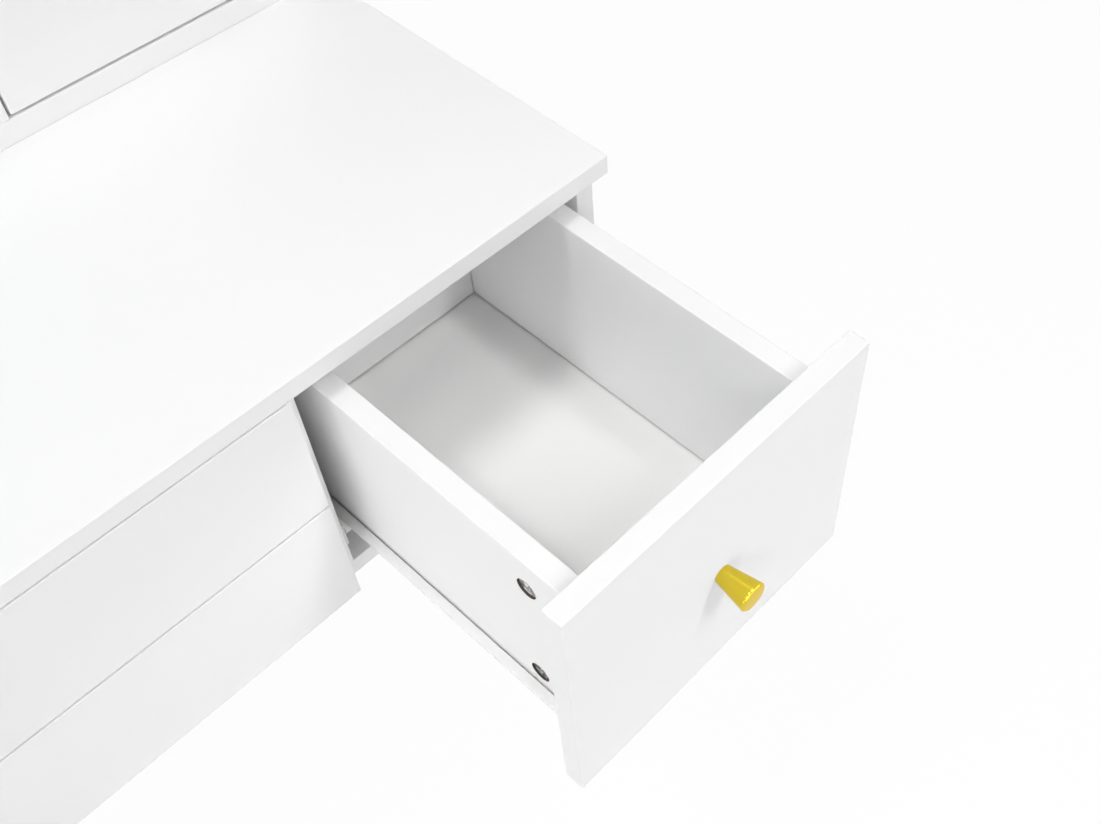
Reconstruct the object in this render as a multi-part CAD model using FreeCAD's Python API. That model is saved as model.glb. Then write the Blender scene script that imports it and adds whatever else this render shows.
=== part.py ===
import FreeCAD
import Part
import math
import os

# A dressing table of white laminated board. Two wide drawers and one deep drawer hang under the top,
# and a shallow hutch with a mirror and a small cupboard stands along its back edge.
# Millimetres: x to the right, y to the back, z up from the floor, with the deep drawer pulled open.

# Overall sizes of the table and of the hutch on it
width = 800.0
depth = 400.0
table_height = 750.0
carcass_height = 232.0
partition_x = 144.0
hutch_height = 600.0
hutch_depth = 109.0

# Boards
board = 15.0
base_board = 18.0
back_board = 5.0
bottom_board = 5.0
edge_round = 0.8

# Drawer fronts: they cover the carcass edges, with a small gap all round
front_reveal = 1.5
floor_show = 3.5
split_gap = 2.0
column_gap = 3.0
front_standoff = 1.0

# Drawer boxes
drawer_rear_space = 55.0
side_drop = 16.5
deep_lift = 33.5
lower_lift = 21.5
upper_lift = 10.0
bottom_rise = 13.0
groove_depth = 6.0
groove_play = 1.0
groove_slack = 1.2
back_fit = 0.5

# Length of runner that stays in the carcass at full travel, and how far short of that the deep drawer stands
runner_overlap = 80.0
open_short = 6.0

# Knobs: a cone that widens to a flat face, with a threaded stud behind
knob_length = 26.0
knob_foot_radius = 6.6
knob_head_radius = 10.7
knob_rim = 1.2
stud_radius = 2.0
stud_skin = 3.0

# Cam fittings that draw the drawer sides against the front
cam_radius = 7.5
cam_skin = 2.5
cam_recess = 1.6
cam_setback = 35.0
cam_drop = 28.0
cam_rise = 15.0
cam_slot_width = 1.6
cam_slot_length = 8.0
cam_slot_depth = 1.5
bolt_radius = 3.0
bolt_skin = 5.0
bolt_channel_play = 0.6

# Roller runners of bent steel strip
slide_space = 12.5
steel = 1.2
runner_short = 25.0
runner_slot = 1.2
flange_clear = 3.3
foot_reach = 10.0
rail_rise = 18.5
roof_start = 60.0
roof_slack = 0.8
axle_inset = 11.0
stop_height = 2.5
stop_length = 2.0
stop_gap = 0.5

# Rollers and their pins
roller_radius = 8.2
roller_rim = 0.8
roller_room = 1.0
lane_gap = 1.7
roll_gap = 0.3
pin_radius = 2.0
pin_head_radius = 3.5
pin_head = 0.8
pin_head_gap = 0.2

# Legs with their plates, screws and glides
leg_inset = 55.0
leg_top_radius = 22.0
leg_foot_radius = 13.0
leg_collar = 18.0
leg_edge = 2.0
plate_size = 64.0
plate_thickness = 2.5
plate_corner = 6.0
plate_stud_radius = 4.0
plate_stud_length = 40.0
plate_hole_inset = 8.0
glide_radius = 11.0
glide_height = 4.0
glide_stem_radius = 3.0
glide_stem_length = 12.0

# Wood screws
screw_radius = 1.75
screw_head_radius = 3.4
screw_head = 2.0
plate_screw_bite = 10.0
hutch_screw_bite = 12.0
hutch_screw_inset = 60.0
drawer_screw_bite = 25.0

# Dowels across the joints of the boards
dowel_radius = 4.0
dowel_in_face = 10.0
dowel_in_end = 20.0
carcass_dowel_setback = 110.0
hutch_dowel_setback = 25.0

# Cupboard door and its pivots
door_gap = 2.0
swing_clearance = 0.6
pivot_radius = 3.0
pivot_in_door = 14.0
pivot_in_board = 9.0
pivot_collar_radius = 5.0
door_knob_inset = 30.0

# Mirror on the back of the open side
mirror_glass = 5.0
mirror_margin = 36.0

# Clearances: turning fits, and pins, screws and studs in their holes
running_clearance = 0.05
hole_clearance = 0.05
seat_gap = 0.3

# Sizes that follow from the ones above
box_length = depth - board - back_board - drawer_rear_space
runner_length = box_length - runner_short
drawer_travel = runner_length - runner_overlap
drawer_open = drawer_travel - open_short
stud_length = board - stud_skin
cam_depth = board - cam_skin
bolt_bite = board - bolt_skin
roller_offset = steel + lane_gap
roller_width = slide_space - runner_slot - 2 * steel - 2 * lane_gap
plate_screw_length = plate_thickness + plate_screw_bite
hutch_screw_length = board + hutch_screw_bite
drawer_screw_length = board + drawer_screw_bite

# Places that follow from the sizes
front_y = (drawer_open + knob_length - depth) / 2
rear_y = front_y + depth
inside_rear_y = rear_y - back_board
left_x = -width / 2
right_x = width / 2
top_underside = table_height - board
carcass_bottom = table_height - carcass_height
floor_top = carcass_bottom + board
carcass_y = (front_y + board + front_standoff, inside_rear_y)
left_bay = (left_x + board, partition_x - board / 2)
right_bay = (partition_x + board / 2, right_x - board)
front_axle_y = carcass_y[0] + axle_inset
rear_axle_y = carcass_y[0] + runner_length - axle_inset

V = FreeCAD.Vector


def block(x, y, z):
    """Square-edged block between the two ends given along each axis."""
    return Part.makeBox(x[1] - x[0], y[1] - y[0], z[1] - z[0], V(x[0], y[0], z[0]))


def panel(x, y, z):
    """Laminated board with softened edges."""
    solid = block(x, y, z)
    return solid.makeFillet(edge_round, solid.Edges)


def rod(radius, start, end):
    """Round bar from one point to another."""
    line = end.sub(start)
    return Part.makeCylinder(radius, line.Length, start, line)


def turned(profile, centre, axis):
    """Solid of revolution: profile holds (radius, distance along the axis) points from the centre."""
    side = V(0, 1, 0) if abs(axis.x) > 0.5 else V(1, 0, 0)
    points = [centre + side * radius + axis * distance for radius, distance in profile]
    face = Part.Face(Part.makePolygon(points + points[:1]))
    return face.revolve(centre, axis, 360)


def save(node, *solids):
    """Writes one piece, or one group of like pieces, under its node name."""
    shape = solids[0] if len(solids) == 1 else Part.makeCompound(list(solids))
    shape.exportStep("parts/" + node + ".step")


def wood_screw(under_head, direction, length):
    """Pan-head screw whose shank runs from under its head in the given direction."""
    head = rod(screw_head_radius, under_head - direction * screw_head, under_head)
    shank = rod(screw_radius, under_head, under_head + direction * length)
    return head.fuse(shank).removeSplitter()


def screw_hole(under_head, direction, length):
    """Hole for the shank of a wood screw."""
    return rod(screw_radius + hole_clearance, under_head, under_head + direction * length)


def dowel(mouth, into_end):
    """Dowel across a joint, with its short end in one board's face and its long end in the other's end."""
    return rod(dowel_radius, mouth - into_end * dowel_in_face, mouth + into_end * dowel_in_end)


def drilled(solid, joints):
    """A board with the holes of the dowels that reach into it."""
    for mouth, into_end in joints:
        start = mouth - into_end * dowel_in_face
        solid = solid.cut(rod(dowel_radius + hole_clearance, start, mouth + into_end * dowel_in_end))
    return solid


def knob(foot):
    """Conical knob that points to the front, and its stud that points to the back."""
    profile = [
        (0, -stud_length),
        (stud_radius, -stud_length),
        (stud_radius, 0),
        (knob_foot_radius, 0),
        (knob_head_radius, knob_length - knob_rim),
        (knob_head_radius - knob_rim, knob_length),
        (0, knob_length),
    ]
    return turned(profile, foot, V(0, -1, 0))


def knob_hole(foot):
    """Blind hole for a knob's stud."""
    return rod(stud_radius + hole_clearance, foot, foot + V(0, stud_length, 0))


def span(wall_x, inward, near, far):
    """Ends along x of what lies between two distances from a bay's wall."""
    return sorted((wall_x + inward * near, wall_x + inward * far))


def axle_height(rail_z):
    """Height of the roller axles under the flange of a drawer runner."""
    return rail_z - steel - roll_gap - roller_radius


def headed_pin(root, neck):
    """Axle pin from the steel that it is riveted to, with a head beyond its neck."""
    along = neck.sub(root).normalize()
    head = rod(pin_head_radius, neck, neck + along * pin_head)
    return rod(pin_radius, root, neck).fuse(head)


def cabinet_runner(wall_x, inward, rail_z):
    """Channel on the wall of a bay: it carries the front roller and takes in the rear one."""
    axle_z = axle_height(rail_z)
    end_y = carcass_y[0] + runner_length
    tread_z = axle_z - roller_radius - roll_gap
    roof_z = rail_z + roof_slack
    reach = roller_offset + roller_width
    web = block(span(wall_x, inward, 0, steel), (carcass_y[0], end_y), (tread_z - steel, roof_z + steel))
    tread_y = (front_axle_y + roller_radius + roller_room, end_y)
    tread = block(span(wall_x, inward, 0, reach), tread_y, (tread_z - steel, tread_z))
    roof = block(span(wall_x, inward, 0, reach), (front_y + roof_start, end_y), (roof_z, roof_z + steel))
    half_chord = math.sqrt(roller_radius**2 - (roller_radius + roll_gap - stop_height) ** 2)
    stop_y = rear_axle_y - drawer_travel - half_chord - stop_gap
    stop_z = (tread_z, tread_z + stop_height)
    stop = block(span(wall_x, inward, 0, reach), (stop_y - stop_length, stop_y), stop_z)
    wall = V(wall_x, front_axle_y, axle_z)
    pin = headed_pin(wall, wall + V(inward * (reach + pin_head_gap), 0, 0))
    return web.multiFuse([tread, roof, stop, pin]).removeSplitter()


def drawer_runner(wall_x, inward, rail_z, side_bottom, pulled):
    """Cradle under a drawer side, with a flange over the front roller and a pin for the rear roller."""
    axle_z = axle_height(rail_z)
    axle_y = rear_axle_y - pulled
    start_y = carcass_y[0] - pulled
    end_y = start_y + runner_length
    web_far = slide_space - runner_slot
    web_near = web_far - steel
    web = block(span(wall_x, inward, web_near, web_far), (start_y, end_y), (side_bottom - steel, rail_z))
    foot_x = span(wall_x, inward, web_near, slide_space + foot_reach)
    foot = block(foot_x, (start_y, end_y), (side_bottom - steel, side_bottom))
    flange_x = span(wall_x, inward, steel + flange_clear, web_far)
    flange_y = (start_y, axle_y - roller_radius - roller_room)
    flange = block(flange_x, flange_y, (rail_z - steel, rail_z))
    web_face = V(wall_x + inward * web_near, axle_y, axle_z)
    neck = V(wall_x + inward * (roller_offset - pin_head_gap), axle_y, axle_z)
    pin = headed_pin(web_face, neck)
    return web.multiFuse([foot, flange, pin]).removeSplitter()


def roller(wall_x, inward, axle_y, axle_z):
    """Nylon roller with rounded-off rims, bored for its pin."""
    bore = pin_radius + running_clearance
    profile = [
        (bore, 0),
        (roller_radius - roller_rim, 0),
        (roller_radius, roller_rim),
        (roller_radius, roller_width - roller_rim),
        (roller_radius - roller_rim, roller_width),
        (bore, roller_width),
    ]
    return turned(profile, V(wall_x + inward * roller_offset, axle_y, axle_z), V(inward, 0, 0))


def cam_parts(outer_x, inward, joint_y, cam_z):
    """One cam, its bolt, and the holes that they need in the drawer side and in the front."""
    cam_y = joint_y + cam_setback
    into = V(inward, 0, 0)
    face = V(outer_x, cam_y, cam_z)
    middle = V(outer_x + inward * board / 2, cam_y, cam_z)
    mouth = V(middle.x, joint_y, cam_z)
    tip = mouth - V(0, bolt_bite, 0)
    bolt = rod(bolt_radius, tip, middle)
    channel = rod(bolt_radius + bolt_channel_play, mouth, middle + V(0, bolt_channel_play, 0))
    pocket = rod(cam_radius + hole_clearance, face, face + into * cam_depth)
    cam = rod(cam_radius, face + into * cam_recess, face + into * cam_depth).cut(channel)
    slot_x = sorted((outer_x, outer_x + inward * (cam_recess + cam_slot_depth)))
    half_long = cam_slot_length / 2
    half_wide = cam_slot_width / 2
    for half_y, half_z in ((half_long, half_wide), (half_wide, half_long)):
        slot = block(slot_x, (cam_y - half_y, cam_y + half_y), (cam_z - half_z, cam_z + half_z))
        cam = cam.cut(slot)
    front_hole = rod(bolt_radius + hole_clearance, tip, mouth)
    return cam, bolt, pocket.fuse(channel), front_hole


def drawer(name, bay, front_x, front_z, lift, cam_pairs, pulled):
    """A drawer with its knob, fittings, runners and rollers, pulled out of its bay by the given distance."""
    face_y = front_y - pulled
    joint_y = face_y + board
    back_y = joint_y + box_length
    outer = (bay[0] + slide_space, bay[1] - slide_space)
    inner = (outer[0] + board, outer[1] - board)
    side_z = (front_z[0] + lift, front_z[1] - side_drop)
    rail_z = side_z[0] + rail_rise
    bottom_z = (side_z[0] + bottom_rise, side_z[0] + bottom_rise + bottom_board)

    groove = block(
        (inner[0] - groove_depth, inner[1] + groove_depth),
        (joint_y - groove_depth, back_y - board + groove_depth),
        (bottom_z[0], bottom_z[1] + groove_slack),
    )
    tongue = groove_depth - groove_play
    bottom = block(
        (inner[0] - tongue, inner[1] + tongue),
        (joint_y - tongue, back_y - board + tongue),
        bottom_z,
    )
    knob_foot = V((front_x[0] + front_x[1]) / 2, face_y, (front_z[0] + front_z[1]) / 2)
    front = panel(front_x, (face_y, joint_y), front_z).cut(groove).cut(knob_hole(knob_foot))
    sides = {
        "left": panel((outer[0], inner[0]), (joint_y, back_y), side_z).cut(groove),
        "right": panel((inner[1], outer[1]), (joint_y, back_y), side_z).cut(groove),
    }
    back_x = (inner[0] + back_fit, inner[1] - back_fit)
    back = panel(back_x, (back_y - board, back_y), side_z).cut(groove)

    fittings = []
    cam_heights = [(bottom_z[1] + side_z[1]) / 2]
    if cam_pairs == 2:
        cam_heights = [bottom_z[1] + cam_rise, side_z[1] - cam_drop]
    for side, outer_x, inward in (("left", outer[0], 1), ("right", outer[1], -1)):
        into = V(inward, 0, 0)
        for cam_z in cam_heights:
            cam, bolt, side_holes, front_hole = cam_parts(outer_x, inward, joint_y, cam_z)
            under_head = V(outer_x, back_y - board / 2, cam_z)
            back_hole = screw_hole(under_head, into, drawer_screw_length)
            fittings += [cam, bolt, wood_screw(under_head, into, drawer_screw_length)]
            sides[side] = sides[side].cut(side_holes).cut(back_hole)
            front = front.cut(front_hole)
            back = back.cut(back_hole)

    walls = ((bay[0], 1), (bay[1], -1))
    axle_z = axle_height(rail_z)
    save(name + "_drawer_front", front)
    save(name + "_drawer_side_left", sides["left"])
    save(name + "_drawer_side_right", sides["right"])
    save(name + "_drawer_back", back)
    save(name + "_drawer_bottom", bottom)
    save(name + "_drawer_knob", knob(knob_foot))
    save(name + "_drawer_fittings", *fittings)
    save(name + "_drawer_runners", *[drawer_runner(x, way, rail_z, side_z[0], pulled) for x, way in walls])
    save(name + "_rear_rollers", *[roller(x, way, rear_axle_y - pulled, axle_z) for x, way in walls])
    save(name + "_cabinet_runners", *[cabinet_runner(x, way, rail_z) for x, way in walls])
    save(name + "_front_rollers", *[roller(x, way, front_axle_y, axle_z) for x, way in walls])


def drawers():
    """The two wide drawers on the left and the deep drawer on the right, in their carcass openings."""
    fronts_top = top_underside - front_reveal
    fronts_bottom = carcass_bottom + floor_show
    half_height = (fronts_top - fronts_bottom - split_gap) / 2
    left_front = (left_x, partition_x - column_gap / 2)
    right_front = (partition_x + column_gap / 2, right_x)
    upper_z = (fronts_top - half_height, fronts_top)
    lower_z = (fronts_bottom, fronts_bottom + half_height)
    drawer("upper", left_bay, left_front, upper_z, upper_lift, 1, 0)
    drawer("lower", left_bay, left_front, lower_z, lower_lift, 1, 0)
    drawer("deep", right_bay, right_front, (fronts_bottom, fronts_top), deep_lift, 2, drawer_open)


def leg_places():
    """Names and axes of the four legs."""
    across = {"left": left_x + leg_inset, "right": right_x - leg_inset}
    along = {"front": carcass_y[0] + leg_inset, "back": inside_rear_y - leg_inset}
    return {row + "_" + side: V(x, y, 0) for row, y in along.items() for side, x in across.items()}


def plate_screw_places(axis):
    """Points under the carcass floor where the four screws of a leg plate go in."""
    reach = plate_size / 2 - plate_hole_inset
    plate_z = carcass_bottom - plate_thickness
    return [V(axis.x + i * reach, axis.y + j * reach, plate_z) for i in (-1, 1) for j in (-1, 1)]


def legs():
    """Turned legs that screw on to studs under the carcass, and glides under them."""
    plates = []
    screws = []
    glides = []
    up = V(0, 0, 1)
    leg_top = carcass_bottom - plate_thickness
    profile = [
        (0, glide_height),
        (leg_foot_radius - leg_edge, glide_height),
        (leg_foot_radius, glide_height + leg_edge),
        (leg_top_radius, leg_top - leg_collar),
        (leg_top_radius, leg_top - leg_edge),
        (leg_top_radius - leg_edge, leg_top),
        (0, leg_top),
    ]
    for place, axis in leg_places().items():
        head = axis + up * leg_top
        stud_end = head - up * plate_stud_length
        stem_end = axis + up * (glide_height + glide_stem_length)
        leg = turned(profile, axis, up)
        leg = leg.cut(rod(plate_stud_radius + hole_clearance, stud_end, head))
        leg = leg.cut(rod(glide_stem_radius + hole_clearance, axis + up * glide_height, stem_end))
        save("leg_" + place, leg)

        half = plate_size / 2
        plate_x = (axis.x - half, axis.x + half)
        plate_y = (axis.y - half, axis.y + half)
        plate = block(plate_x, plate_y, (leg_top, carcass_bottom))
        corners = [edge for edge in plate.Edges if abs(edge.tangentAt(edge.FirstParameter).z) > 0.5]
        plate = plate.makeFillet(plate_corner, corners)
        plate = plate.fuse(rod(plate_stud_radius, stud_end, head)).removeSplitter()
        for point in plate_screw_places(axis):
            plate = plate.cut(screw_hole(point, up, plate_thickness))
            screws.append(wood_screw(point, up, plate_screw_length))
        plates.append(plate)

        pad = rod(glide_radius, axis, axis + up * glide_height)
        stem = rod(glide_stem_radius, axis + up * glide_height, stem_end)
        glides.append(pad.fuse(stem).removeSplitter())
    save("leg_plates", *plates)
    save("leg_plate_screws", *screws)
    save("leg_glides", *glides)


def hutch_screw_points():
    """Points under the table top where the screws that hold the hutch go in."""
    middle_y = (rear_y - hutch_depth + inside_rear_y) / 2
    points = []
    for bay in (left_bay, right_bay):
        for x in (bay[0] + hutch_screw_inset, bay[1] - hutch_screw_inset):
            points.append(V(x, middle_y, top_underside))
    return points


def wall_middles():
    """Middles along x of the left end, the partition and the right end, in the carcass and in the hutch."""
    return (left_x + board / 2, partition_x, right_x - board / 2)


def carcass_joints():
    """Dowelled joints of the carcass: the mouth of each, and the way into the board that meets it end on."""
    up = V(0, 0, 1)
    right = V(1, 0, 0)
    floor_middle = carcass_bottom + board / 2
    joints = []
    for y in (carcass_y[0] + carcass_dowel_setback, carcass_y[1] - carcass_dowel_setback):
        joints += [(V(x, y, top_underside), up * -1) for x in wall_middles()]
        joints.append((V(partition_x, y, floor_top), up))
        joints.append((V(left_x + board, y, floor_middle), right))
        joints.append((V(right_x - board, y, floor_middle), right * -1))
    return joints


def hutch_joints():
    """Dowelled joints of the hutch, where its walls meet its base and its lid."""
    up = V(0, 0, 1)
    base_top = table_height + base_board
    lid_bottom = table_height + hutch_height - board
    joints = []
    for y in (rear_y - hutch_depth + hutch_dowel_setback, inside_rear_y - hutch_dowel_setback):
        for x in wall_middles():
            joints.append((V(x, y, base_top), up))
            joints.append((V(x, y, lid_bottom), up * -1))
    return joints


def carcass():
    """Top, ends, partition, floor and back of the table."""
    up = V(0, 0, 1)
    joints = carcass_joints()
    top = panel((left_x, right_x), (front_y, rear_y), (top_underside, table_height))
    for point in hutch_screw_points():
        top = top.cut(screw_hole(point, up, hutch_screw_length))
    floor = panel((left_x + board, right_x - board), carcass_y, (carcass_bottom, floor_top))
    for axis in leg_places().values():
        for point in plate_screw_places(axis):
            floor = floor.cut(screw_hole(point, up, plate_screw_length))
    wall_z = (carcass_bottom, top_underside)
    left_end = panel((left_x, left_x + board), carcass_y, wall_z)
    right_end = panel((right_x - board, right_x), carcass_y, wall_z)
    partition = panel((left_bay[1], right_bay[0]), carcass_y, (floor_top, top_underside))
    save("table_top", drilled(top, joints))
    save("end_panel_left", drilled(left_end, joints))
    save("end_panel_right", drilled(right_end, joints))
    save("table_partition", drilled(partition, joints))
    save("table_floor", drilled(floor, joints))
    save("board_dowels", *[dowel(mouth, into_end) for mouth, into_end in joints + hutch_joints()])
    save("table_back", block((left_x, right_x), (inside_rear_y, rear_y), wall_z))


def hutch():
    """Shallow hutch on the table top: an open side with a mirror, and a cupboard with a pivoted door."""
    up = V(0, 0, 1)
    face_y = rear_y - hutch_depth
    base_z = (table_height, table_height + base_board)
    lid_z = (table_height + hutch_height - board, table_height + hutch_height)
    wall_y = (face_y, inside_rear_y)
    wall_z = (base_z[1], lid_z[0])

    door_x = (right_bay[0] + door_gap, right_bay[1] - door_gap)
    door_y = (face_y, face_y + board)
    door_z = (wall_z[0] + door_gap, wall_z[1] - door_gap)
    swing_room = door_gap - swing_clearance
    pivot_inset = ((board / 2) ** 2 - swing_room**2) / (2 * swing_room)
    heel_radius = pivot_inset + swing_room
    pivot = V(door_x[1] - pivot_inset, face_y + board / 2, 0)
    low_pin = (pivot + up * (door_z[0] + pivot_in_door), pivot + up * (base_z[1] - pivot_in_board))
    high_pin = (pivot + up * (door_z[1] - pivot_in_door), pivot + up * (lid_z[0] + pivot_in_board))
    collar_end = pivot + up * (base_z[1] + seat_gap)
    collar = rod(pivot_collar_radius, collar_end, pivot + up * door_z[0])

    door_knob_foot = V(door_x[0] + door_knob_inset, face_y, (door_z[0] + door_z[1]) / 2)
    door = panel(door_x, door_y, door_z).cut(knob_hole(door_knob_foot))
    base = panel((left_x, right_x), wall_y, base_z)
    lid = panel((left_x, right_x), wall_y, lid_z)
    for start, end in (low_pin, high_pin):
        door = door.cut(rod(pivot_radius + hole_clearance, start, end))
        socket = rod(pivot_radius + running_clearance, start, end)
        base = base.cut(socket)
        lid = lid.cut(socket)
    screws = []
    for point in hutch_screw_points():
        base = base.cut(screw_hole(point, up, hutch_screw_length))
        screws.append(wood_screw(point, up, hutch_screw_length))

    shelf_y = (pivot.y + heel_radius + door_gap, inside_rear_y)
    bay_height = (wall_z[1] - wall_z[0] - 2 * board) / 3
    for index, level in enumerate(("lower", "upper")):
        shelf_bottom = wall_z[0] + (index + 1) * bay_height + index * board
        shelf_z = (shelf_bottom, shelf_bottom + board)
        save("hutch_shelf_" + level, panel(right_bay, shelf_y, shelf_z))

    joints = hutch_joints()
    mirror_x = (left_bay[0] + mirror_margin, left_bay[1] - mirror_margin)
    mirror_z = (wall_z[0] + mirror_margin, wall_z[1] - mirror_margin)
    save("hutch_base", drilled(base, joints))
    save("hutch_top", drilled(lid, joints))
    save("hutch_side_left", drilled(panel((left_x, left_x + board), wall_y, wall_z), joints))
    save("hutch_side_right", drilled(panel((right_x - board, right_x), wall_y, wall_z), joints))
    save("hutch_partition", drilled(panel((left_bay[1], right_bay[0]), wall_y, wall_z), joints))
    save("hutch_back", block((left_x, right_x), (inside_rear_y, rear_y), (base_z[0], lid_z[1])))
    save("mirror", block(mirror_x, (inside_rear_y - mirror_glass, inside_rear_y), mirror_z))
    save("hutch_screws", *screws)
    save("door", door)
    save("door_knob", knob(door_knob_foot))
    low_pivot = rod(pivot_radius, *low_pin).fuse(collar).removeSplitter()
    save("door_pivots", low_pivot, rod(pivot_radius, *high_pin))


os.makedirs("parts", exist_ok=True)
carcass()
legs()
drawers()
hutch()
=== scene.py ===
# A dressing table of white laminated board, seen from above with its deep drawer pulled open.
# The file follows the table as it is put together: carcass, legs, runners and drawers, then the
# hutch on its back edge, and last the studio and the camera.
# Sizes are in metres unless a name ends in mm.
import bmesh
import bpy
import math
from mathutils import Matrix, Vector


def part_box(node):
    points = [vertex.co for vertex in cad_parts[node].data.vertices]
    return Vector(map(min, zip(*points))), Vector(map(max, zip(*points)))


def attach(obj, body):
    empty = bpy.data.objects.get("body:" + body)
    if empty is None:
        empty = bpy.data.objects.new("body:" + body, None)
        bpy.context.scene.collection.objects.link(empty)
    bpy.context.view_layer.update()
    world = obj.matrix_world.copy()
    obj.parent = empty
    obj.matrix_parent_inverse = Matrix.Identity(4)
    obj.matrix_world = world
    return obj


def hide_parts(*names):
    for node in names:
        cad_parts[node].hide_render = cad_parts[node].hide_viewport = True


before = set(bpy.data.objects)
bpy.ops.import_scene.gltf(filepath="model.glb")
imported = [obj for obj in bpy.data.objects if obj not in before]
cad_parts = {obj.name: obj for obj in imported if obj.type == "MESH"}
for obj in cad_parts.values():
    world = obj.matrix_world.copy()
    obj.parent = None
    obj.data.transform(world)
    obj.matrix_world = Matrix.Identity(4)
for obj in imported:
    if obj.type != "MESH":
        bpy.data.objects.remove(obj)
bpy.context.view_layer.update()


# Carcass boards
# The top, two ends, a partition and a floor, cut from 15 mm chipboard and faced with melamine.
# Dowels hold them edge to face, so nothing but fine joint lines shows on the outside.
def linear(hex_colour):
    """Linear RGBA values of an sRGB hex colour."""
    channels = [int(hex_colour[i : i + 2], 16) / 255 for i in (1, 3, 5)]
    curve = [c / 12.92 if c <= 0.04045 else ((c + 0.055) / 1.055) ** 2.4 for c in channels]
    return curve + [1.0]


def new_finish(name, constants):
    """New node material and its Principled shader, with the sockets that are the same all over set."""
    finish = bpy.data.materials.new(name)
    finish.use_nodes = True
    shader = finish.node_tree.nodes["Principled BSDF"]
    for socket, value in constants.items():
        shader.inputs[socket].default_value = value
    return finish, shader


def add_node(finish, kind, inputs, settings=None, feeds=None):
    """Adds a node with its settings, and returns the outputs that it shows.
    An input is a value or an output to link, and feeds are the inputs that its first output feeds."""
    tree = finish.node_tree
    made = tree.nodes.new(kind)
    for setting, value in (settings or {}).items():
        setattr(made, setting, value)
    sockets = {socket.identifier: socket for socket in made.inputs}
    for name, value in inputs.items():
        if isinstance(value, bpy.types.NodeSocket):
            tree.links.new(value, sockets[name])
        else:
            sockets[name].default_value = value
    shown = [socket for socket in made.outputs if socket.enabled]
    for target in feeds or []:
        tree.links.new(shown[0], target)
    return shown


def dress(finish, *nodes):
    """Gives a finish to pieces that keep the shape of their CAD node."""
    for name in nodes:
        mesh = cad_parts[name].data
        mesh.materials.clear()
        mesh.materials.append(finish)


# Melamine: resin-soaked paper pressed on to chipboard under a finely grained plate. It is an even,
# neutral white with a satin sheen, and its grain only breaks up the highlights. The real 0.4 mm
# grain is drawn at 1.5 mm.
laminate, laminate_shader = new_finish("white_melamine_laminate", {"IOR": 1.5})
laminate_grain_mm = 1.5
laminate_cloud_mm = 180
object_output = 3  # Object's place among the outputs of Texture Coordinate
laminate_spot = add_node(laminate, "ShaderNodeTexCoord", {})[object_output]
laminate_cloud = add_node(
    laminate,
    "ShaderNodeTexNoise",
    {"Vector": laminate_spot, "Scale": 1000 / laminate_cloud_mm, "Detail": 2.0},
)[0]
add_node(
    laminate,
    "ShaderNodeMix",
    {"Factor_Float": laminate_cloud, "A_Color": linear("#FAFAFA"), "B_Color": linear("#FCFCFC")},
    {"data_type": "RGBA"},
    [laminate_shader.inputs["Base Color"]],
)
laminate_grain = add_node(
    laminate,
    "ShaderNodeTexNoise",
    {"Vector": laminate_spot, "Scale": 1000 / laminate_grain_mm, "Detail": 3.0},
)[0]
add_node(
    laminate,
    "ShaderNodeMapRange",
    {"Value": laminate_grain, "To Min": 0.34, "To Max": 0.48},
    feeds=[laminate_shader.inputs["Roughness"]],
)
add_node(
    laminate,
    "ShaderNodeBump",
    {"Height": laminate_grain, "Strength": 0.05, "Distance": 0.00005},
    feeds=[laminate_shader.inputs["Normal"]],
)

# Chipboard: pressed wood chips, brown and dull. It lies bare only where a groove or a hole is cut
# into a finished board, so all that the eye gets of it is a dark line in a joint. Its browns are
# painted darker than bare chipboard is, as painted shade that deepens those joint lines. The chips
# are drawn at their real 2 mm.
chipboard_joint_shade, chipboard_shader = new_finish("bare_chipboard_joint_shade", {"Roughness": 0.9})
chip_mm = 2.0
chipboard_spot = add_node(chipboard_joint_shade, "ShaderNodeTexCoord", {})[object_output]
chip = add_node(
    chipboard_joint_shade,
    "ShaderNodeTexNoise",
    {"Vector": chipboard_spot, "Scale": 1000 / chip_mm, "Detail": 3.0},
)[0]
# The two browns are darker than bare chipboard: painted shade for the joint lines.
add_node(
    chipboard_joint_shade,
    "ShaderNodeMix",
    {"Factor_Float": chip, "A_Color": linear("#40382F"), "B_Color": linear("#5C5144")},
    {"data_type": "RGBA"},
    [chipboard_shader.inputs["Base Color"]],
)


def dress_boards(*nodes):
    """Melamine on the faces and edges of boards, and bare chipboard, darkened as painted shade in the
    joints, in what is cut into them.
    """
    dress(laminate, *nodes)
    edge_round = 0.0008
    for name in nodes:
        low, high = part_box(name)
        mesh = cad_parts[name].data
        mesh.materials.append(chipboard_joint_shade)
        for face in mesh.polygons:
            depths = [min(face.center[i] - low[i], high[i] - face.center[i]) for i in range(3)]
            face.material_index = 1 if min(depths) > edge_round else 0


dress_boards("table_top", "end_panel_left", "end_panel_right", "table_partition", "table_floor")

# Back panel and dowels
# The back is a sheet of thin hardboard with a white lacquered face, pinned flat over the carcass.
# The dowels are beech, glued into the ends and faces of the boards, where nobody sees them.

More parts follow.
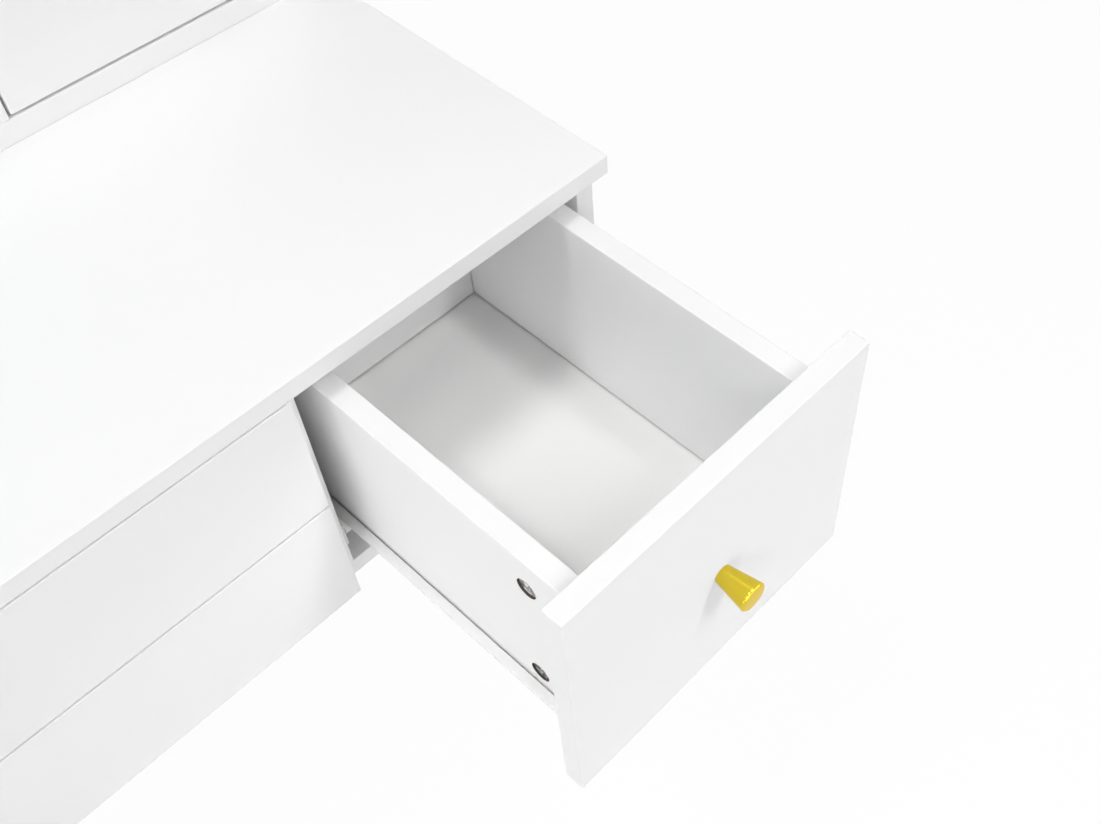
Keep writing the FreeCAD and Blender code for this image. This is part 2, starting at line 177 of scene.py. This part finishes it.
# Lacquered hardboard: pressed fibre under one thin coat, a little greyer and duller than melamine,
# with a soft fleck where the fibres lie under the paint. The 0.3 mm fibres are drawn at 2 mm.
hardboard, hardboard_shader = new_finish("lacquered_hardboard", {"IOR": 1.48})
fibre_mm = 2.0
hardboard_spot = add_node(hardboard, "ShaderNodeTexCoord", {})[object_output]
fibre = add_node(
    hardboard,
    "ShaderNodeTexNoise",
    {"Vector": hardboard_spot, "Scale": 1000 / fibre_mm, "Detail": 4.0, "Distortion": 0.6},
)[0]
add_node(
    hardboard,
    "ShaderNodeMix",
    {"Factor_Float": fibre, "A_Color": linear("#F9F9F8"), "B_Color": linear("#FCFCFB")},
    {"data_type": "RGBA"},
    [hardboard_shader.inputs["Base Color"]],
)
add_node(
    hardboard,
    "ShaderNodeMapRange",
    {"Value": fibre, "To Min": 0.45, "To Max": 0.62},
    feeds=[hardboard_shader.inputs["Roughness"]],
)
add_node(
    hardboard,
    "ShaderNodeBump",
    {"Height": fibre, "Strength": 0.06, "Distance": 0.0001},
    feeds=[hardboard_shader.inputs["Normal"]],
)
dress(hardboard, "table_back")

# Beech: pale pinkish brown with short dark flecks along the grain, left bare.
beech, beech_shader = new_finish("bare_beech", {"Roughness": 0.6})
fleck_mm = 1.2
beech_spot = add_node(beech, "ShaderNodeTexCoord", {})[object_output]
fleck = add_node(
    beech,
    "ShaderNodeTexNoise",
    {"Vector": beech_spot, "Scale": 1000 / fleck_mm, "Detail": 3.0},
)[0]
add_node(
    beech,
    "ShaderNodeMix",
    {"Factor_Float": fleck, "A_Color": linear("#B98F66"), "B_Color": linear("#DDBE96")},
    {"data_type": "RGBA"},
    [beech_shader.inputs["Base Color"]],
)
dress(beech, "board_dowels")


# Legs
# Four tapered legs turned from solid wood and sprayed white, each with a straight collar at its top.
# A stud in the plate above screws into the leg, and a plastic glide is pushed into its foot.
merge_distance = 1e-6


def turned(profile, centre, axis, sides=64):
    """Mesh spun from a profile of (radius, distance along the axis) points.
    It is closed where the profile ends on the axis."""
    mesh = bmesh.new()
    across = Vector((0, 1, 0)) if abs(axis.x) > 0.5 else Vector((1, 0, 0))
    points = [mesh.verts.new(centre + across * radius + axis * far) for radius, far in profile]
    lines = [mesh.edges.new(pair) for pair in zip(points, points[1:])]
    bmesh.ops.spin(
        mesh, geom=points + lines, cent=centre, axis=axis, angle=math.tau, steps=sides, use_merge=True
    )
    bmesh.ops.remove_doubles(mesh, verts=mesh.verts, dist=merge_distance)
    bmesh.ops.recalc_face_normals(mesh, faces=mesh.faces)
    return mesh


def round_edges(mesh, width, steps=3, sharper_than=25):
    """Rounds the edges of a mesh where its faces meet at more than an angle in degrees."""
    sharp = [
        edge
        for edge in mesh.edges
        if len(edge.link_faces) == 2 and edge.calc_face_angle() > math.radians(sharper_than)
    ]
    bmesh.ops.bevel(
        mesh,
        geom=sharp,
        offset=width,
        offset_type="OFFSET",
        affect="EDGES",
        segments=steps,
        profile=0.5,
        material=-1,
        clamp_overlap=True,
    )
    return mesh


def set_piece(name, meshes, finish, body, slot, *nodes):
    """One piece made of the given meshes: it rides on a body and stands for the CAD nodes named."""
    crease_degrees = 35
    data = bpy.data.meshes.new(name)
    whole = bmesh.new()
    for mesh in meshes:
        mesh.to_mesh(data)
        mesh.free()
        whole.from_mesh(data)
    whole.to_mesh(data)
    whole.free()
    data.shade_smooth()
    data.set_sharp_from_angle(angle=math.radians(crease_degrees))
    data.materials.append(finish)
    piece = bpy.data.objects.new(name, data)
    bpy.context.scene.collection.objects.link(piece)
    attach(piece, body)
    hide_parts(*nodes)
    return piece


# Sprayed lacquer: a smooth, slightly warm white with a soft gloss and the faint dimples of a
# spray coat, drawn at 2.5 mm.
lacquer, lacquer_shader = new_finish(
    "sprayed_white_lacquer", {"IOR": 1.5, "Coat Weight": 0.25, "Coat Roughness": 0.2}
)
dimple_mm = 2.5
lacquer_spot = add_node(lacquer, "ShaderNodeTexCoord", {})[object_output]
dimple = add_node(
    lacquer,
    "ShaderNodeTexNoise",
    {"Vector": lacquer_spot, "Scale": 1000 / dimple_mm, "Detail": 1.0},
)[0]
add_node(
    lacquer,
    "ShaderNodeMix",
    {"Factor_Float": dimple, "A_Color": linear("#F3F3F1"), "B_Color": linear("#F7F7F5")},
    {"data_type": "RGBA"},
    [lacquer_shader.inputs["Base Color"]],
)
add_node(
    lacquer,
    "ShaderNodeMapRange",
    {"Value": dimple, "To Min": 0.3, "To Max": 0.4},
    feeds=[lacquer_shader.inputs["Roughness"]],
)
add_node(
    lacquer,
    "ShaderNodeBump",
    {"Height": dimple, "Strength": 0.08, "Distance": 0.0001},
    feeds=[lacquer_shader.inputs["Normal"]],
)

up = Vector((0, 0, 1))
leg_foot_radius = 0.013
leg_collar = 0.018
leg_edge = 0.002
leg_names = ["leg_" + row + "_" + side for row in ("front", "back") for side in ("left", "right")]
leg_axes = []
for leg in leg_names:
    low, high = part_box(leg)
    leg_axis = Vector(((low.x + high.x) / 2, (low.y + high.y) / 2, 0))
    leg_axes.append(leg_axis)
    top_radius = (high.x - low.x) / 2
    leg_profile = [
        (0, low.z),
        (leg_foot_radius, low.z),
        (top_radius, high.z - leg_collar),
        (top_radius, high.z),
        (0, high.z),
    ]
    leg_mesh = round_edges(turned(leg_profile, leg_axis, up), leg_edge, steps=4)
    set_piece(leg + "_turned", [leg_mesh], lacquer, "table", "white_lacquer", leg)

# Leg plates, screws and glides
# Each plate is stamped from zinc-plated steel and held to the carcass floor by four pan-head screws.
# The glides are moulded from hard pale plastic, with a rim that wears first.

# Bright zinc: a bluish silver, a little cloudy from the plating bath, with broad soft reflections.
zinc, zinc_shader = new_finish("bright_zinc_plating", {"Metallic": 1.0})
zinc_cloud_mm = 6
zinc_spot = add_node(zinc, "ShaderNodeTexCoord", {})[object_output]
zinc_cloud = add_node(
    zinc,
    "ShaderNodeTexNoise",
    {"Vector": zinc_spot, "Scale": 1000 / zinc_cloud_mm, "Detail": 3.0},
)[0]
add_node(
    zinc,
    "ShaderNodeMix",
    {"Factor_Float": zinc_cloud, "A_Color": linear("#A9AFB6"), "B_Color": linear("#C6CACE")},
    {"data_type": "RGBA"},
    [zinc_shader.inputs["Base Color"]],
)
add_node(
    zinc,
    "ShaderNodeMapRange",
    {"Value": zinc_cloud, "To Min": 0.22, "To Max": 0.4},
    feeds=[zinc_shader.inputs["Roughness"]],
)
dress(zinc, "leg_plates")


def cross_disc(
    face, outward, radius, rim, rim_depth, thickness, arm_length, arm_width, arm_depth, sides=48
):
    """Round head or disc with a rim round its sunk face and a cross-shaped recess for a driver."""
    mesh = bmesh.new()
    turn = outward.to_track_quat("Z", "Y").to_matrix().to_4x4()
    here = Matrix.Translation(face) @ turn
    floor = here @ Matrix.Translation((0, 0, -rim_depth))
    outer = bmesh.ops.create_circle(mesh, segments=sides, radius=radius - rim, matrix=floor)["verts"]
    half_long, half_wide = arm_length / 2, arm_width / 2
    corner = [(half_wide, half_long), (half_wide, half_wide), (half_long, half_wide)]
    quarter_turns = [(1, 1, 0), (1, -1, 1), (-1, -1, 0), (-1, 1, 1)]
    cross = []
    for x_way, y_way, back in quarter_turns:
        for x, y in reversed(corner) if back else corner:
            cross.append(mesh.verts.new(floor @ Vector((x * x_way, y * y_way, 0))))
    outer_edges = list({edge for vert in outer for edge in vert.link_edges})
    cross_edges = [mesh.edges.new(pair) for pair in zip(cross, cross[1:] + cross[:1])]
    bmesh.ops.triangle_fill(mesh, use_beauty=True, edges=outer_edges + cross_edges, normal=outward)
    sunk = bmesh.ops.extrude_edge_only(mesh, edges=cross_edges)["geom"]
    sunk_verts = [part for part in sunk if isinstance(part, bmesh.types.BMVert)]
    sunk_edges = [part for part in sunk if isinstance(part, bmesh.types.BMEdge)]
    bmesh.ops.translate(mesh, verts=sunk_verts, vec=-outward * arm_depth)
    bmesh.ops.contextual_create(mesh, geom=sunk_edges)
    loop = outer_edges
    steps = [(1, rim_depth), (radius / (radius - rim), 0), (1, -thickness)]
    for scale, rise in steps:
        grown = bmesh.ops.extrude_edge_only(mesh, edges=loop)["geom"]
        verts = [part for part in grown if isinstance(part, bmesh.types.BMVert)]
        loop = [part for part in grown if isinstance(part, bmesh.types.BMEdge)]
        loop = [edge for edge in loop if all(vert in verts for vert in edge.verts)]
        bmesh.ops.scale(mesh, verts=verts, vec=(scale, scale, 1), space=here.inverted())
        bmesh.ops.translate(mesh, verts=verts, vec=outward * rise)
    bmesh.ops.contextual_create(mesh, geom=loop)
    bmesh.ops.recalc_face_normals(mesh, faces=mesh.faces)
    return mesh


def pan_screw(under_head, inward, length):
    """Pan-head wood screw: its driven head, and a shank that runs to a point."""
    head_radius = 0.0034
    head_height = 0.002
    head_round = 0.0004
    shank_radius = 0.0017
    shank_root = 0.0003
    tip = 0.004
    head = cross_disc(
        under_head - inward * head_height,
        -inward,
        head_radius,
        rim=0.0006,
        rim_depth=0.0001,
        thickness=head_height,
        arm_length=0.0036,
        arm_width=0.0009,
        arm_depth=0.001,
    )
    round_edges(head, head_round, sharper_than=50)
    shank_profile = [(shank_radius, -shank_root), (shank_radius, length - tip), (0, length)]
    return [head, turned(shank_profile, under_head, inward, sides=16)]


plate_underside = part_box(leg_names[0])[1].z
screw_reach = 0.024
plate_screw_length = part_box("leg_plate_screws")[1].z - plate_underside
plate_screws = []
for leg_axis in leg_axes:
    for i in (-1, 1):
        for j in (-1, 1):
            corner = Vector((i * screw_reach, j * screw_reach, plate_underside))
            plate_screws += pan_screw(leg_axis + corner, up, plate_screw_length)
set_piece("leg_plate_pan_screws", plate_screws, zinc, "table", "zinc_plate", "leg_plate_screws")

# Glide plastic: hard grey-white moulding with a matt sparked surface, drawn at 0.8 mm.
glide_plastic, glide_shader = new_finish("moulded_glide_plastic", {"IOR": 1.49})
spark_mm = 0.8
glide_spot = add_node(glide_plastic, "ShaderNodeTexCoord", {})[object_output]
spark = add_node(
    glide_plastic,
    "ShaderNodeTexNoise",
    {"Vector": glide_spot, "Scale": 1000 / spark_mm, "Detail": 2.0},
)[0]
add_node(
    glide_plastic,
    "ShaderNodeMix",
    {"Factor_Float": spark, "A_Color": linear("#CFCFCC"), "B_Color": linear("#DCDCD9")},
    {"data_type": "RGBA"},
    [glide_shader.inputs["Base Color"]],
)
add_node(
    glide_plastic,
    "ShaderNodeMapRange",
    {"Value": spark, "To Min": 0.5, "To Max": 0.7},
    feeds=[glide_shader.inputs["Roughness"]],
)
glide_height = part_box(leg_names[0])[0].z
glide_radius = 0.011
glide_edge = 0.0008
stem_radius = 0.003
stem_top = 0.016
glide_profile = [
    (0, 0),
    (glide_radius, 0),
    (glide_radius, glide_height),
    (stem_radius, glide_height),
    (stem_radius, stem_top),
    (0, stem_top),
]
glides = []
for leg_axis in leg_axes:
    glides.append(round_edges(turned(glide_profile, leg_axis, up, sides=48), glide_edge))
set_piece("leg_glides_moulded", glides, glide_plastic, "table", "glide_plastic", "leg_glides")


# Runners
# Each drawer hangs on a pair of roller runners folded from steel strip and coated white: a channel
# on the wall of its bay, and a cradle under the drawer side, whose flange rides over the roller of
# the channel.
def softened(node, width):
    """Copy of a CAD node with doubled points merged, flat faces made whole and edges rounded."""
    flat_degrees = 1
    mesh = bmesh.new()
    mesh.from_mesh(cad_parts[node].data)
    bmesh.ops.remove_doubles(mesh, verts=mesh.verts, dist=merge_distance)
    bmesh.ops.dissolve_limit(
        mesh, angle_limit=math.radians(flat_degrees), verts=mesh.verts, edges=mesh.edges
    )
    return round_edges(mesh, width, steps=2, sharper_than=40)


# Epoxy powder coat on steel: a neutral white a shade greyer than the boards, satin, with a fine
# orange peel, drawn at 1.2 mm.
powder, powder_shader = new_finish("white_powder_coat", {"IOR": 1.5})
peel_mm = 1.2
powder_spot = add_node(powder, "ShaderNodeTexCoord", {})[object_output]
peel = add_node(
    powder,
    "ShaderNodeTexNoise",
    {"Vector": powder_spot, "Scale": 1000 / peel_mm, "Detail": 1.5},
)[0]
add_node(
    powder,
    "ShaderNodeMix",
    {"Factor_Float": peel, "A_Color": linear("#E9E9E9"), "B_Color": linear("#EFEFEF")},
    {"data_type": "RGBA"},
    [powder_shader.inputs["Base Color"]],
)
add_node(
    powder,
    "ShaderNodeMapRange",
    {"Value": peel, "To Min": 0.28, "To Max": 0.4},
    feeds=[powder_shader.inputs["Roughness"]],
)
add_node(
    powder,
    "ShaderNodeBump",
    {"Height": peel, "Strength": 0.1, "Distance": 0.00006},
    feeds=[powder_shader.inputs["Normal"]],
)

# Nylon: a milky white moulding that lets a little light in, with a dull sheen on its tread.
nylon, nylon_shader = new_finish(
    "milky_nylon",
    {"IOR": 1.53, "Subsurface Weight": 0.25, "Subsurface Radius": (0.002, 0.002, 0.0018)},
)
tread_mm = 1.0
nylon_spot = add_node(nylon, "ShaderNodeTexCoord", {})[object_output]
tread = add_node(
    nylon,
    "ShaderNodeTexNoise",
    {"Vector": nylon_spot, "Scale": 1000 / tread_mm, "Detail": 2.0},
)[0]
add_node(
    nylon,
    "ShaderNodeMix",
    {"Factor_Float": tread, "A_Color": linear("#EAE9E4"), "B_Color": linear("#F1F0EC")},
    {"data_type": "RGBA"},
    [nylon_shader.inputs["Base Color"]],
)
add_node(
    nylon,
    "ShaderNodeMapRange",
    {"Value": tread, "To Min": 0.35, "To Max": 0.5},
    feeds=[nylon_shader.inputs["Roughness"]],
)

right = Vector((1, 0, 0))
runner_edge = 0.00035
roller_width = 0.0055
roller_bore = 0.00205
roller_dish = 0.0006
roller_edge = 0.0004
drawer_names = ("upper", "lower", "deep")
for drawer in drawer_names:
    runner_bodies = {
        drawer + "_cabinet_runners": "table",
        drawer + "_drawer_runners": drawer + "_drawer",
    }
    for node, body in runner_bodies.items():
        strip = softened(node, runner_edge)
        set_piece(node + "_folded", [strip], powder, body, "coated_steel", node)
    for end in ("front", "rear"):
        node = drawer + "_" + end + "_rollers"
        low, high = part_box(node)
        radius = (high.z - low.z) / 2
        hub_radius = radius * 0.45
        dish_start = radius * 0.5
        dish_end = radius * 0.78
        rim_start = radius * 0.84
        rollers = []
        for face_x in (low.x, high.x - roller_width):
            centre = Vector((face_x, (low.y + high.y) / 2, (low.z + high.z) / 2))
            roller_profile = [
                (roller_bore, 0),
                (hub_radius, 0),
                (dish_start, roller_dish),
                (dish_end, roller_dish),
                (rim_start, 0),
                (radius, 0),
                (radius, roller_width),
                (rim_start, roller_width),
                (dish_end, roller_width - roller_dish),
                (dish_start, roller_width - roller_dish),
                (hub_radius, roller_width),
                (roller_bore, roller_width),
                (roller_bore, 0),
            ]
            roller = turned(roller_profile, centre, right, sides=48)
            rollers.append(round_edges(roller, roller_edge, sharper_than=30))
        set_piece(node + "_moulded", rollers, nylon, node, "roller_nylon", node)

# Drawer boxes
# A laminated front, two sides and a back round a thin bottom panel that slides in grooves.
# The fronts are flush and plain, with fine gaps between them.
for drawer in drawer_names:
    box_parts = [drawer + "_drawer_" + part for part in ("front", "side_left", "side_right", "back")]
    dress_boards(*box_parts)
    dress(hardboard, drawer + "_drawer_bottom")

# Knobs
# Solid cones turned from zinc alloy and plated gold, wider at the face than at the foot, with a
# bright chamfer round the face. A threaded stud behind each one screws into its front. The yellow
# light that they would throw on to the white boards is left out.

# Gold plating: a clean greenish yellow, polished, with faint marks of the polishing cloth that vary
# its gloss, drawn at 1.5 mm.
gold, gold_shader = new_finish(
    "polished_gold_plating", {"Metallic": 1.0, "Specular Tint": linear("#FDF0E2")}
)
polish_mm = 1.5
gold_spot = add_node(gold, "ShaderNodeTexCoord", {})[object_output]
polish = add_node(
    gold,
    "ShaderNodeTexNoise",
    {"Vector": gold_spot, "Scale": 1000 / polish_mm, "Detail": 2.0},
)[0]
add_node(
    gold,
    "ShaderNodeMix",
    {"Factor_Float": polish, "A_Color": linear("#DDC236"), "B_Color": linear("#E2CA44")},
    {"data_type": "RGBA"},
    [gold_shader.inputs["Base Color"]],
)
add_node(
    gold,
    "ShaderNodeMapRange",
    {"Value": polish, "To Min": 0.08, "To Max": 0.14},
    feeds=[gold_shader.inputs["Roughness"]],
)

forward = Vector((0, -1, 0))
knob_foot_radius = 0.0066
knob_chamfer = 0.0012
knob_round = 0.0005
knob_stud_radius = 0.002
knob_places = {
    drawer + "_drawer_knob": (drawer + "_drawer_front", drawer + "_drawer") for drawer in drawer_names
}
knob_places["door_knob"] = ("door", "cupboard_door")
for knob, (front, body) in knob_places.items():
    low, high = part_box(knob)
    face_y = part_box(front)[0].y
    foot = Vector(((low.x + high.x) / 2, face_y, (low.z + high.z) / 2))
    knob_length = face_y - low.y
    head_radius = (high.x - low.x) / 2
    knob_profile = [
        (0, face_y - high.y),
        (knob_stud_radius, face_y - high.y),
        (knob_stud_radius, 0),
        (knob_foot_radius, 0),
        (head_radius, knob_length - knob_chamfer),
        (head_radius - knob_chamfer, knob_length),
        (0, knob_length),
    ]
    knob_mesh = round_edges(turned(knob_profile, foot, forward, sides=96), knob_round, steps=4)
    knob_piece = set_piece(knob + "_turned", [knob_mesh], gold, body, "gold_plate", knob)
    knob_piece.visible_diffuse = False
    knob_piece.visible_glossy = False

# Drawer fittings
# Cams let into the drawer sides draw the front tight on its bolts, and their cross-slotted faces
# stay in view. Pan-head screws through the sides hold the back.

# Die-cast zinc with a thin nickel finish: a silver grey metal, mottled light and dark by the flow
# in the mould. The mottles are drawn at 3 mm.
cam_metal, cam_shader = new_finish("nickel_die_casting", {"Metallic": 1.0})
casting_mm = 3.0
cam_spot = add_node(cam_metal, "ShaderNodeTexCoord", {})[object_output]
casting = add_node(
    cam_metal,
    "ShaderNodeTexNoise",
    {"Vector": cam_spot, "Scale": 1000 / casting_mm, "Detail": 3.0},
)[0]
mottle = add_node(
    cam_metal, "ShaderNodeMapRange", {"Value": casting, "From Min": 0.35, "From Max": 0.65}
)[0]
add_node(
    cam_metal,
    "ShaderNodeMix",
    {"Factor_Float": mottle, "A_Color": linear("#707072"), "B_Color": linear("#DEDEE0")},
    {"data_type": "RGBA"},
    [cam_shader.inputs["Base Color"]],
)
add_node(
    cam_metal,
    "ShaderNodeMapRange",
    {"Value": casting, "To Min": 0.28, "To Max": 0.45},
    feeds=[cam_shader.inputs["Roughness"]],
)

cam_radius = 0.0075
cam_recess = 0.0016
cam_depth = 0.0125
cam_setback = 0.035
cam_rise = 0.015
cam_drop = 0.028
cam_edge = 0.0003
bolt_radius = 0.003
bolt_bite = 0.010
bolt_edge = 0.0005
back_screw_length = 0.040
for drawer in drawer_names:
    left_low, left_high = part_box(drawer + "_drawer_side_left")
    right_low, right_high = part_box(drawer + "_drawer_side_right")
    back_low, back_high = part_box(drawer + "_drawer_back")
    bottom_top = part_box(drawer + "_drawer_bottom")[1].z
    heights = [(bottom_top + left_high.z) / 2]
    if drawer == "deep":
        heights = [bottom_top + cam_rise, left_high.z - cam_drop]
    fittings = []
    for face_x, inward in ((left_low.x, right), (right_high.x, -right)):
        for z in heights:
            cam_face = Vector((face_x, left_low.y + cam_setback, z)) + inward * cam_recess
            cam = cross_disc(
                cam_face,
                -inward,
                cam_radius,
                rim=0.0009,
                rim_depth=0.0003,
                thickness=cam_depth - cam_recess,
                arm_length=0.008,
                arm_width=0.0016,
                arm_depth=0.0015,
            )
            fittings.append(round_edges(cam, cam_edge, sharper_than=50))
            bolt_middle = Vector((face_x, left_low.y, z)) + inward * (left_high.x - left_low.x) / 2
            bolt_profile = [
                (0, -bolt_bite),
                (bolt_radius, -bolt_bite),
                (bolt_radius, cam_setback - cam_radius),
                (0, cam_setback - cam_radius),
            ]
            bolt = turned(bolt_profile, bolt_middle, -forward, sides=24)
            fittings.append(round_edges(bolt, bolt_edge))
            under_head = Vector((face_x, (back_low.y + back_high.y) / 2, z))
            fittings += pan_screw(under_head, inward, back_screw_length)
    node = drawer + "_drawer_fittings"
    set_piece(node + "_cast", fittings, cam_metal, drawer + "_drawer", "cam_steel", node)

# Hutch
# A shallow case of the same laminated board on the back edge of the top: a base, a lid, two ends,
# a partition and two shelves, closed behind by hardboard and held down by screws through the top.
hutch_parts = ("base", "top", "side_left", "side_right", "partition", "shelf_lower", "shelf_upper")
dress_boards(*["hutch_" + part for part in hutch_parts])
dress(hardboard, "hutch_back")
screw_low, screw_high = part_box("hutch_screws")
screw_row_y = (screw_low.y + screw_high.y) / 2
top_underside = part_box("table_top")[0].z
hutch_screw_inset = 0.06
hutch_screws = []
wall_faces = [
    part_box("end_panel_left")[1].x,
    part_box("table_partition")[0].x,
    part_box("table_partition")[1].x,
    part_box("end_panel_right")[0].x,
]
for wall_x, way in zip(wall_faces, (1, -1, 1, -1)):
    under_head = Vector((wall_x + way * hutch_screw_inset, screw_row_y, top_underside))
    hutch_screws += pan_screw(under_head, up, screw_high.z - top_underside)
set_piece("hutch_pan_screws", hutch_screws, zinc, "table", "zinc_plate", "hutch_screws")

# Mirror
# A plate of 5 mm float glass, silvered behind and glued to the hutch back, with its front edges ground.
# It is clean and flat, so it only shows what stands before it.

# Silvered glass: a near-perfect mirror with the faint green of float glass and a trace of haze.
silver, silver_shader = new_finish("silvered_float_glass", {"Metallic": 1.0})
haze_mm = 60
silver_spot = add_node(silver, "ShaderNodeTexCoord", {})[object_output]
haze = add_node(
    silver,
    "ShaderNodeTexNoise",
    {"Vector": silver_spot, "Scale": 1000 / haze_mm, "Detail": 2.0},
)[0]
add_node(
    silver,
    "ShaderNodeMix",
    {"Factor_Float": haze, "A_Color": linear("#E6EDEA"), "B_Color": linear("#EDF2F0")},
    {"data_type": "RGBA"},
    [silver_shader.inputs["Base Color"]],
)
add_node(
    silver,
    "ShaderNodeMapRange",
    {"Value": haze, "To Min": 0.005, "To Max": 0.02},
    feeds=[silver_shader.inputs["Roughness"]],
)
low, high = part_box("mirror")
mirror_size = high - low
mirror_bevel = 0.0015
plate = bmesh.new()
place = Matrix.Translation((low + high) / 2) @ Matrix.Diagonal((*mirror_size, 1))
bmesh.ops.create_cube(plate, size=1.0, matrix=place)
round_edges(plate, mirror_bevel, steps=1, sharper_than=40)
set_piece("mirror_plate", [plate], silver, "table", "mirror_glass", "mirror")

# Cupboard door
# A laminated door beside the mirror that turns on two steel pins, let into its edges near the
# right end. A collar on the lower pin carries its weight.
dress_boards("door")
dress(zinc, "door_pivots")

# Studio
# A white sweep under a dim white sky. Two gridded softboxes, one above on the left and one over
# the front on the right, draw the soft shadows. High panels brighten the inside of the open drawer,
# and low, wide ones fill the upright faces from the front, the left and behind.
floor_size = 6.0
floor_mesh = bmesh.new()
bmesh.ops.create_grid(floor_mesh, x_segments=1, y_segments=1, size=floor_size)
floor_data = bpy.data.meshes.new("studio_floor")
floor_mesh.to_mesh(floor_data)
floor_mesh.free()
studio_floor = bpy.data.objects.new("studio_floor", floor_data)
bpy.context.scene.collection.objects.link(studio_floor)


def seen_rays(finish):
    """Output that is 1 for rays from the eye, in reflections and through glass, and 0 for others."""
    rays = {socket.name: socket for socket in add_node(finish, "ShaderNodeLightPath", {})}
    seen = rays["Is Camera Ray"]
    for kind in ("Is Glossy Ray", "Is Transmission Ray"):
        seen = add_node(
            finish,
            "ShaderNodeMath",
            {"Value": seen, "Value_001": rays[kind]},
            {"operation": "MAXIMUM"},
        )[0]
    return seen


# White sweep: it shows white to the eye and in reflections, and keeps a faint shadow.
shadow_share = 0.04
sweep, sweep_shader = new_finish("white_sweep", {"Base Color": linear("#F8F8F8"), "Roughness": 0.9})
white_share = add_node(
    sweep,
    "ShaderNodeMath",
    {"Value": seen_rays(sweep), "Value_001": 1 - shadow_share},
    {"operation": "MULTIPLY"},
)[0]
glow = add_node(sweep, "ShaderNodeEmission", {"Strength": 1.0})[0]
sweep_output = sweep.node_tree.nodes["Material Output"]
add_node(
    sweep,
    "ShaderNodeMixShader",
    {"Fac": white_share, "Shader": sweep_shader.outputs[0], "Shader_001": glow},
    feeds=[sweep_output.inputs["Surface"]],
)
sweep.cycles.emission_sampling = "NONE"
floor_data.materials.append(sweep)

# The sky lights the table dimly, and is white where the eye looks straight at it.
sky_light = 0.11
sky = bpy.data.worlds.new("white_tent")
sky.use_nodes = True
sky_glow = sky.node_tree.nodes["Background"]
sky_glow.inputs["Color"].default_value = linear("#FFFFFF")
add_node(
    sky,
    "ShaderNodeMapRange",
    {"Value": seen_rays(sky), "To Min": sky_light, "To Max": 1.0},
    feeds=[sky_glow.inputs["Strength"]],
)
bpy.context.scene.world = sky


def softbox(name, start, end, width, target, brightness, spread=180):
    """Area lamp whose middle line runs between two points, turned to a target.
    A white sky has brightness 1. A grid before the lamp narrows its beam to a spread in degrees,
    and keeps its brightness in the middle."""
    start, end, target = Vector(start), Vector(end), Vector(target)
    length = (end - start).length
    middle = (start + end) / 2
    along = (end - start).normalized()
    away = middle - target
    away = (away - along * away.dot(along)).normalized()
    lamp = bpy.data.lights.new(name, "AREA")
    lamp.shape = "RECTANGLE"
    lamp.size = length
    lamp.size_y = width
    half = math.radians(spread) / 2
    lamp.spread = half * 2
    lamp.energy = math.pi * length * width * brightness * (1 - half / math.tan(half))
    holder = bpy.data.objects.new(name, lamp)
    turn = Matrix((along, away.cross(along), away)).transposed().to_4x4()
    holder.matrix_world = Matrix.Translation(middle) @ turn
    holder.visible_camera = False
    bpy.context.scene.collection.objects.link(holder)


drawer_middle = (0.27, -0.10, 0.60)
drawer_front = (0.34, -0.22, 0.60)
# For each lamp: its two ends, its width, its target and brightness, and the spread of its grid.
softbox("overhead_left", (-1.52, -0.08, 4.16), (-0.83, -0.08, 4.44), 0.9, drawer_front, 31, 40)
softbox("front_strip", (0.86, -1.6, 3.2), (0.72, -2.8, 2.5), 0.32, drawer_front, 31, 60)
softbox("overhead_front_panel", (-1.5, -1.5, 4.7), (2.1, -1.5, 4.7), 0.9, drawer_middle, 1.8)
softbox("left_front_panel", (-3.4, -1.15, 3.2), (-2.4, -2.85, 3.2), 1.0, drawer_middle, 4.8)
softbox("left_back_panel", (-2.5, 0.8, 4.05), (-1.95, 1.8, 4.05), 1.0, drawer_middle, 4.4)
softbox("front_right_fill", (0.4, -3.6, 0.9), (3.6, -2.2, 0.9), 1.4, drawer_middle, 0.9)
softbox("front_left_fill", (-2.6, -3.4, 1.0), (0.2, -3.6, 1.0), 1.4, drawer_middle, 1.5)
softbox("left_low_fill", (-3.5, -1.6, 0.8), (-3.5, 1.9, 0.8), 1.4, drawer_middle, 1.2)
softbox("back_fill", (-0.6, 3.6, 1.1), (2.2, 3.6, 1.1), 1.8, drawer_middle, 3.4)

# Camera
# A moderate lens above the front left corner of the open drawer, looking down into it.
# The picture is off the middle of the lens, as a square crop widened with white margins is.
azimuth = math.radians(-47.466)
elevation = math.radians(52.347)
aim = Vector((0.27177, -0.2499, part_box("table_top")[1].z))
distance = 0.70565
back = Vector(
    (
        math.sin(azimuth) * math.cos(elevation),
        -math.cos(azimuth) * math.cos(elevation),
        math.sin(elevation),
    )
)
lens = bpy.data.cameras.new("camera")
lens.sensor_fit = "HORIZONTAL"
lens.sensor_width = 36.0
lens.lens = 42.283
lens.shift_x = -0.10658
lens.clip_start = 0.01
camera = bpy.data.objects.new("camera", lens)
bpy.context.scene.collection.objects.link(camera)
camera.location = aim + back * distance
camera.rotation_mode = "QUATERNION"
camera.rotation_quaternion = (-back).to_track_quat("-Z", "Y")
bpy.context.scene.camera = camera
bpy.context.scene.view_settings.view_transform = "Standard"
